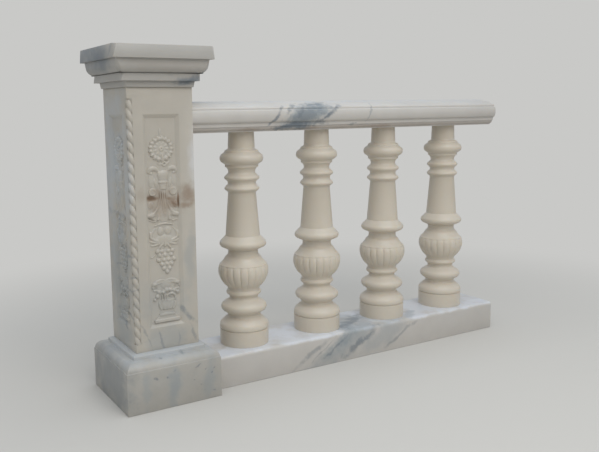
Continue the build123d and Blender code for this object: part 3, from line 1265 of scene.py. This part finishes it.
def notch(bm, post, rebate):
    """Takes the front left corner out of the shaft between the rope's foot and head."""
    gone = []
    for face in bm.faces:
        centre = face.calc_center_median()
        if max(centre.xy) < rebate and post.rope_foot < centre.z < post.rope_head:
            gone.append(face)
    bmesh.ops.delete(bm, geom=gone, context="FACES")
    rim = {}
    for edge in bm.edges:
        if edge.is_boundary:
            for vert in edge.verts:
                rim[tuple(round(size, PLACES) for size in vert.co)] = vert
    levels = sorted({up for _, _, up in rim})
    inner = {level: bm.verts.new((rebate, rebate, level)) for level in levels}
    outside, inside = round(-post.shaft_half, PLACES), round(rebate, PLACES)
    for level in (levels[0], levels[-1]):
        bm.faces.new(
            (
                rim[inside, outside, level],
                rim[outside, outside, level],
                rim[outside, inside, level],
                inner[level],
            )
        )
    for low, high in zip(levels, levels[1:]):
        for x, y in ((inside, outside), (outside, inside)):
            bm.faces.new((rim[x, y, low], inner[low], inner[high], rim[x, y, high]))


def sink_panel(bm, post, turn):
    """Sinks the splayed panel into the face that looks along -Y turned by an angle in degrees."""
    turned = Matrix.Rotation(radians(turn), 3, "Z")
    out = turned @ Vector((0, -1, 0))
    across = turned @ Vector((1, 0, 0))
    faces = []
    for face in bm.faces:
        centre = face.calc_center_median()
        if (
            abs(centre.dot(out) - post.shaft_half) < TOUCHING
            and abs(centre.dot(across)) < post.panel_half
            and post.panel_foot < centre.z < post.panel_head
        ):
            faces.append(face)
    bmesh.ops.recalc_face_normals(bm, faces=bm.faces)
    bmesh.ops.inset_region(
        bm,
        faces=faces,
        thickness=post.panel_splay,
        depth=-post.panel_depth,
        use_even_offset=True,
        use_boundary=True,
    )


ROPE_POINTS_PER_STRAND = 24
ROPE_STEPS_PER_TURN = 40


class BALUSTRADE_OT_rope(bpy.types.Operator):
    """Rope moulding in the outer front corner of the shaft"""

    bl_idname = "balustrade.rope"
    bl_label = "Rope moulding"

    def execute(self, context):
        post = context.scene.balustrade.post
        height = post.rope_head - post.rope_foot
        bm = bmesh.new()
        made = bmesh.ops.create_circle(
            bm, cap_ends=False, radius=1, segments=ROPE_POINTS_PER_STRAND * post.strands
        )
        for vert in made["verts"]:
            off = off_crown(vert, post.strands)
            vert.co *= post.rope_radius - post.strand_depth * off * off
        turns = height / post.rope_lead
        steps = round(turns * ROPE_STEPS_PER_TURN)
        bmesh.ops.spin(
            bm,
            geom=bm.verts[:] + bm.edges[:],
            cent=(0, 0, 0),
            axis=(0, 0, 1),
            dvec=(0, 0, height / steps),
            angle=-tau * turns,
            steps=steps,
        )
        fill_holes(bm)
        close(bm)
        centre = post.shaft_half - post.rope_radius
        bmesh.ops.translate(bm, vec=(-centre, -centre, post.rope_foot), verts=bm.verts)
        finished("rope_moulding", bm, "warm_marble_honed", smooth=60)
        return {"FINISHED"}


class BALUSTRADE_OT_carving(bpy.types.Operator):
    """Relief in the three panels of the shaft"""

    bl_idname = "balustrade.carving"
    bl_label = "Carved panels"

    def execute(self, context):
        front = carved_panel(context.scene.balustrade)
        for name, turn in PANEL_TURNS.items():
            bm = front.copy()
            bmesh.ops.rotate(
                bm, verts=bm.verts, cent=(0, 0, 0), matrix=Matrix.Rotation(radians(turn), 3, "Z")
            )
            finished(f"carving_{name}", bm, "warm_marble_honed", smooth=70)
        front.free()
        return {"FINISHED"}


# An edge stands on a diagonal where, in plan, its ends and the centre line span less than this area,
# in square metres.
ON_A_DIAGONAL = 1e-9


class BALUSTRADE_OT_cap(bpy.types.Operator):
    """Cap of the post with its corners cut"""

    bl_idname = "balustrade.cap"
    bl_label = "Cap of the post"

    def execute(self, context):
        post = context.scene.balustrade.post
        bm = square_turned(CAP_OUTLINE)
        corners = []
        for edge in bm.edges:
            a, b = (v.co for v in edge.verts)
            if abs(a.x * b.y - a.y * b.x) < ON_A_DIAGONAL and a.x * b.x > 0:
                corners.append(edge)
        ease(bm, post.corner_cut, 1, edges=corners, offset_type="ABSOLUTE")
        ease(bm, post.arris)
        finished("cap", bm, "white_marble_honed", ["post_cap"])
        return {"FINISHED"}


EDGE_ROUND_SEGMENTS = 8


class BALUSTRADE_OT_rails(bpy.types.Operator):
    """Ground rail and handrail"""

    bl_idname = "balustrade.rails"
    bl_label = "Rails"

    def execute(self, context):
        rails = context.scene.balustrade.rails
        bm = block(GROUND_RAIL_LOW, GROUND_RAIL_HIGH)
        top_edges = [
            e
            for e in bm.edges
            if all(v.co.z > GROUND_RAIL_HIGH.z - MM for v in e.verts)
            and abs(e.verts[0].co.y - e.verts[1].co.y) < MM
        ]
        ease(bm, rails.edge_round, EDGE_ROUND_SEGMENTS, edges=top_edges)
        ease(bm, rails.arris, angle=40)
        finished("ground_rail", bm, "painted_top_light_marble_honed", ["base_rail"])

        half = trace(HANDRAIL_OUTLINE)
        bm = bmesh.new()
        verts = [bm.verts.new((HANDRAIL_LOW.x, across, up)) for across, up in half]
        verts += [bm.verts.new((HANDRAIL_LOW.x, -across, up)) for across, up in half[-2:0:-1]]
        face = bm.faces.new(verts)
        made = bmesh.ops.extrude_face_region(bm, geom=[face])
        moved = [g for g in made["geom"] if isinstance(g, bmesh.types.BMVert)]
        bmesh.ops.translate(bm, vec=(HANDRAIL_HIGH.x - HANDRAIL_LOW.x, 0, 0), verts=moved)
        close(bm)
        ends = [e for e in bm.edges if all(v.co.x > HANDRAIL_HIGH.x - MM for v in e.verts)]
        ease(bm, rails.arris, edges=ends)
        finished("moulded_handrail", bm, "veined_marble_honed", ["handrail"])
        return {"FINISHED"}


# Widest radius of the bulb, where the grooves between the lobes are as deep as their setting says
BULB_RADIUS = 82 * MM
# Height above their foot at which the lobes are fully formed
GADROON_FADE = 10 * MM
# Height of a lobe's rounded top as a share of its width, and how much shallower the groove is there
CROWN_SHARE = 0.45
CROWN_SHALLOWER = 0.55
# Roundness of a lobe: 2 is a circle's, and a higher one is flatter on its crown.
LOBE_POWER = 2.2
TURNED_ARC_STEPS = 7


def gadroon(vert, settings):
    """Draws a point of the bulb in towards the axis where it lies in a groove between two lobes."""
    foot, head = settings.gadroon_foot, settings.gadroon_head
    if not foot < vert.co.z < head:
        return
    radius = vert.co.xy.length
    crown = tau / settings.gadroons * radius * CROWN_SHARE
    above = max(0.0, (vert.co.z - head + crown) / crown)
    reach = min(1.0, hypot(off_crown(vert, settings.gadroons), above))
    depth = settings.groove * (radius / BULB_RADIUS) ** 2 * (1 - CROWN_SHALLOWER * above)
    fade_in = min(1.0, (vert.co.z - foot) / GADROON_FADE)
    vert.co.xy *= 1 - depth * fade_in * (1 - sqrt(1 - reach**LOBE_POWER)) / radius


class BALUSTRADE_OT_balusters(bpy.types.Operator):
    """Turned balusters with a gadrooned bulb"""

    bl_idname = "balustrade.balusters"
    bl_label = "Balusters"

    def execute(self, context):
        sizes = context.scene.balustrade.balusters
        points = trace(BALUSTER_OUTLINE, TURNED_ARC_STEPS)
        outline = []
        for (radius, up), (next_radius, next_up) in zip(points, points[1:]):
            outline.append((radius, 0, up))
            if sizes.gadroon_foot < (up + next_up) / 2 < sizes.gadroon_head:
                outline.append(((radius + next_radius) / 2, 0, (up + next_up) / 2))
        outline.append((points[-1][0], 0, points[-1][1]))
        turned = bmesh.new()
        turn_once(turned, wire(turned, outline), sizes.gadroons * sizes.steps)
        close(turned)
        for vert in turned.verts:
            gadroon(vert, sizes)
        for node in BALUSTER_NODES:
            low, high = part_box(node)
            bm = turned.copy()
            bmesh.ops.translate(bm, vec=((low.x + high.x) / 2, 0, 0), verts=bm.verts)
            finished(f"turned_{node}", bm, "cream_marble_satin", [node], smooth=38)
        turned.free()
        return {"FINISHED"}


PHOTO_WIDTH = 599
PHOTO_HEIGHT = 452
# The photo's focal length and the point it is aimed at, in pixels
LENS_PIXELS = 721.52
AIM_ACROSS = 262.0
AIM_DOWN = 215.13
# Where the camera stands, and how far it is turned right, tilted up and leant over
EYE = (-0.8048, -2.0324, 0.8678)
YAW, PITCH, ROLL = radians(30.42), radians(-8.40), radians(-0.77)

FLOOR_RADIUS = 60
FLOOR_SIDES = 64
FLOOR_DROP = 0.5 * MM
# The floor fades into the backdrop between these distances from a point under the balusters.
FLOOR_MIDDLE = (0.7, 0, 0)
FADE_START = 0.95
FADE_END = 2.3
LAMPS_AIM = (0.6, 0, 0.5)


class BALUSTRADE_OT_stage(bpy.types.Operator):
    """Floor, lamps and camera"""

    bl_idname = "balustrade.stage"
    bl_label = "Stage"

    def execute(self, context):
        settings = context.scene.balustrade.stage
        scene = context.scene
        scene.view_settings.view_transform = "Standard"
        lay_floor(scene, settings)
        hang_sky(scene, settings)
        set_lamps(scene, settings)
        set_camera(scene)
        return {"FINISHED"}


def lay_floor(scene, settings):
    """A wide sheet of matt paper just under the ground."""
    bm = bmesh.new()
    bmesh.ops.create_circle(bm, cap_ends=True, radius=FLOOR_RADIUS, segments=FLOOR_SIDES)
    bmesh.ops.translate(bm, vec=(FLOOR_MIDDLE[0], 0, -FLOOR_DROP), verts=bm.verts)
    mesh = bpy.data.meshes.new("floor")
    bm.to_mesh(mesh)
    bm.free()
    floor = bpy.data.objects.new("floor", mesh)
    scene.collection.objects.link(floor)
    # Matt paper has no gloss: the eye gets soft shadows, and far away only the backdrop's grey.
    paper = bpy.data.materials.new("matt_paper")
    paper.use_nodes = True
    tree = paper.node_tree
    tree.nodes.clear()
    place = add(tree, "ShaderNodeTexCoord").outputs["Object"]
    away = add(tree, "ShaderNodeVectorMath", {0: place, 1: FLOOR_MIDDLE}, operation="DISTANCE")
    far = add(
        tree,
        "ShaderNodeMapRange",
        {"Value": away.outputs["Value"], "From Min": FADE_START, "From Max": FADE_END},
        interpolation_type="SMOOTHSTEP",
    )
    lit = add(tree, "ShaderNodeBsdfDiffuse", {"Color": linear(settings.floor)})
    glow = add(tree, "ShaderNodeEmission", {"Color": linear(settings.backdrop)})
    seen = add(tree, "ShaderNodeLightPath")
    share = add(
        tree,
        "ShaderNodeMath",
        {0: far.outputs[0], 1: seen.outputs["Is Camera Ray"]},
        operation="MULTIPLY",
    )
    both = add(
        tree, "ShaderNodeMixShader", {0: share.outputs[0], 1: lit.outputs[0], 2: glow.outputs[0]}
    )
    add(tree, "ShaderNodeOutputMaterial", {"Surface": both.outputs[0]})
    mesh.materials.append(paper)


def hang_sky(scene, settings):
    """Even light from all round, which the camera sees as the backdrop's grey."""
    world = bpy.data.worlds.new("even_sky")
    scene.world = world
    world.use_nodes = True
    tree = world.node_tree
    tree.nodes.clear()
    sky = add(
        tree, "ShaderNodeBackground", {"Color": (0.93, 0.96, 1.0, 1), "Strength": settings.sky}
    )
    wall = add(tree, "ShaderNodeBackground", {"Color": linear(settings.backdrop)})
    seen = add(tree, "ShaderNodeLightPath")
    both = add(
        tree,
        "ShaderNodeMixShader",
        {0: seen.outputs["Is Camera Ray"], 1: sky.outputs[0], 2: wall.outputs[0]},
    )
    add(tree, "ShaderNodeOutputWorld", {"Surface": both.outputs[0]})


def set_lamps(scene, settings):
    """Large soft lamps in front, overhead and at the left: place, width, power and colour."""
    lamps = {
        "key_lamp": ((0.3, -3.2, 3.2), 2.6, settings.key, (1.0, 0.965, 0.92)),
        "top_lamp": ((0.6, -0.6, 3.2), 3.0, settings.top, (0.80, 0.90, 1.0)),
        "side_lamp": ((-3.2, -0.6, 1.4), 2.2, settings.side, (0.86, 0.94, 1.0)),
    }
    for name, (place, width, power, colour) in lamps.items():
        lamp = bpy.data.lights.new(name, "AREA")
        lamp.size = width
        lamp.energy = power
        lamp.color = colour
        carrier = bpy.data.objects.new(name, lamp)
        scene.collection.objects.link(carrier)
        carrier.location = place
        aim = Vector(LAMPS_AIM) - Vector(place)
        carrier.rotation_euler = aim.to_track_quat("-Z", "Y").to_euler()


def set_camera(scene):
    """The camera, where the photo was taken from."""
    ahead = Vector((sin(YAW) * cos(PITCH), cos(YAW) * cos(PITCH), sin(PITCH)))
    level = Vector((cos(YAW), -sin(YAW), 0))
    above = level.cross(ahead)
    right = level * cos(ROLL) + above * sin(ROLL)
    up = above * cos(ROLL) - level * sin(ROLL)
    camera = bpy.data.cameras.new("camera")
    camera.sensor_width = 36
    camera.lens = LENS_PIXELS / PHOTO_WIDTH * camera.sensor_width
    camera.shift_x = (PHOTO_WIDTH / 2 - AIM_ACROSS) / PHOTO_WIDTH
    camera.shift_y = (AIM_DOWN - PHOTO_HEIGHT / 2) / PHOTO_WIDTH
    camera.clip_end = 200
    carrier = bpy.data.objects.new("camera", camera)
    scene.collection.objects.link(carrier)
    turned = Matrix((right, up, -ahead)).transposed().to_4x4()
    carrier.matrix_world = Matrix.Translation(EYE) @ turned
    scene.camera = carrier


PIECE_OPERATORS = (
    BALUSTRADE_OT_foot,
    BALUSTRADE_OT_shaft,
    BALUSTRADE_OT_rope,
    BALUSTRADE_OT_carving,
    BALUSTRADE_OT_cap,
    BALUSTRADE_OT_rails,
    BALUSTRADE_OT_balusters,
    BALUSTRADE_OT_stage,
)


class BALUSTRADE_PT_pieces(bpy.types.Panel):
    """Lists the pieces of the balustrade"""

    bl_label = "Marble balustrade"
    bl_idname = "BALUSTRADE_PT_pieces"
    bl_space_type = "VIEW_3D"
    bl_region_type = "UI"
    bl_category = "Balustrade"

    def draw(self, context):
        for operator in PIECE_OPERATORS:
            self.layout.operator(operator.bl_idname)


CLASSES = (
    PostSettings,
    CarvingSettings,
    RailSettings,
    BalusterSettings,
    StoneSettings,
    StageSettings,
    BalustradeSettings,
    *PIECE_OPERATORS,
    BALUSTRADE_PT_pieces,
)


def register():
    for cls in CLASSES:
        bpy.utils.register_class(cls)
    bpy.types.Scene.balustrade = PointerProperty(type=BalustradeSettings)


def unregister():
    del bpy.types.Scene.balustrade
    for cls in reversed(CLASSES):
        bpy.utils.unregister_class(cls)


def main():
    """Registers the add-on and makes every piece."""
    register()
    bpy.ops.balustrade.foot()
    bpy.ops.balustrade.shaft()
    bpy.ops.balustrade.rope()
    bpy.ops.balustrade.carving()
    bpy.ops.balustrade.cap()
    bpy.ops.balustrade.rails()
    bpy.ops.balustrade.balusters()
    bpy.ops.balustrade.stage()


if __name__ == "__main__":
    main()
